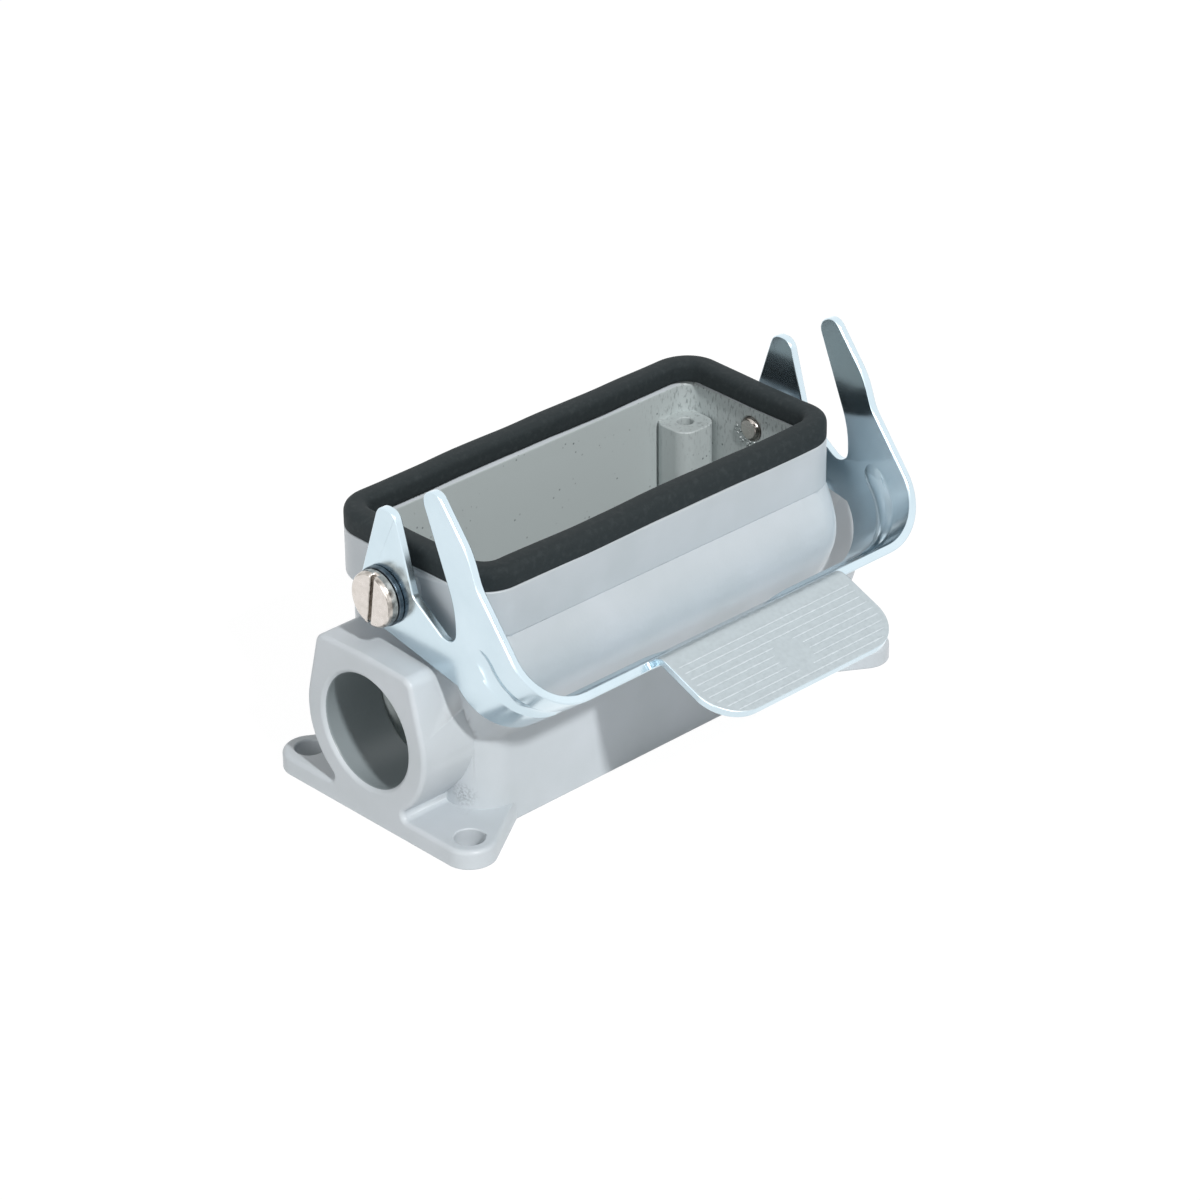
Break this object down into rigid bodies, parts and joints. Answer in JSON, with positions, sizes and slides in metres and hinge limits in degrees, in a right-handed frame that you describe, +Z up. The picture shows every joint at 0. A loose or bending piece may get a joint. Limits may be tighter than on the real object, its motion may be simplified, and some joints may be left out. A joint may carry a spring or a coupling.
{
  "type": "rectangular connector housing",
  "caption": "Light grey die-cast surface-mounting housing for a rectangular connector, with an end cable entry, a black rim gasket and a swinging sheet-steel locking lever.",
  "frame": {"origin": "centre of the four mounting holes, on the underside of the flange", "axes": "+X along the housing, away from the open cable entry; -Y towards the lever's handle; +Z up, the way a hood is lifted off"},
  "size_m": [0.1154, 0.0876, 0.0717],
  "materials": {
    "painted_casting": "smooth light grey powder coat on a die-cast aluminium alloy",
    "gasket_rubber": "matt black rubber",
    "zinc_plated_sheet": "bright blue-white zinc plate on pressed steel sheet",
    "screw_steel": "bright nickel-plated turned steel",
    "spring_steel": "dark blued spring steel"
  },
  "bodies": {
    "housing": {"housing": "painted_casting", "gasket": "gasket_rubber", "left_pivot_screw": "screw_steel", "right_pivot_screw": "screw_steel", "left_spring_washer": "spring_steel", "right_spring_washer": "spring_steel"},
    "lever": {"locking_lever": "zinc_plated_sheet"}
  },
  "joints": [
    {"name": "lever_swing", "type": "hinge", "parent": "housing", "child": "lever", "pos_m": [0, 0, 0.0455], "axis": [-1, 0, 0], "range_deg": [0, 125]}
  ]
}
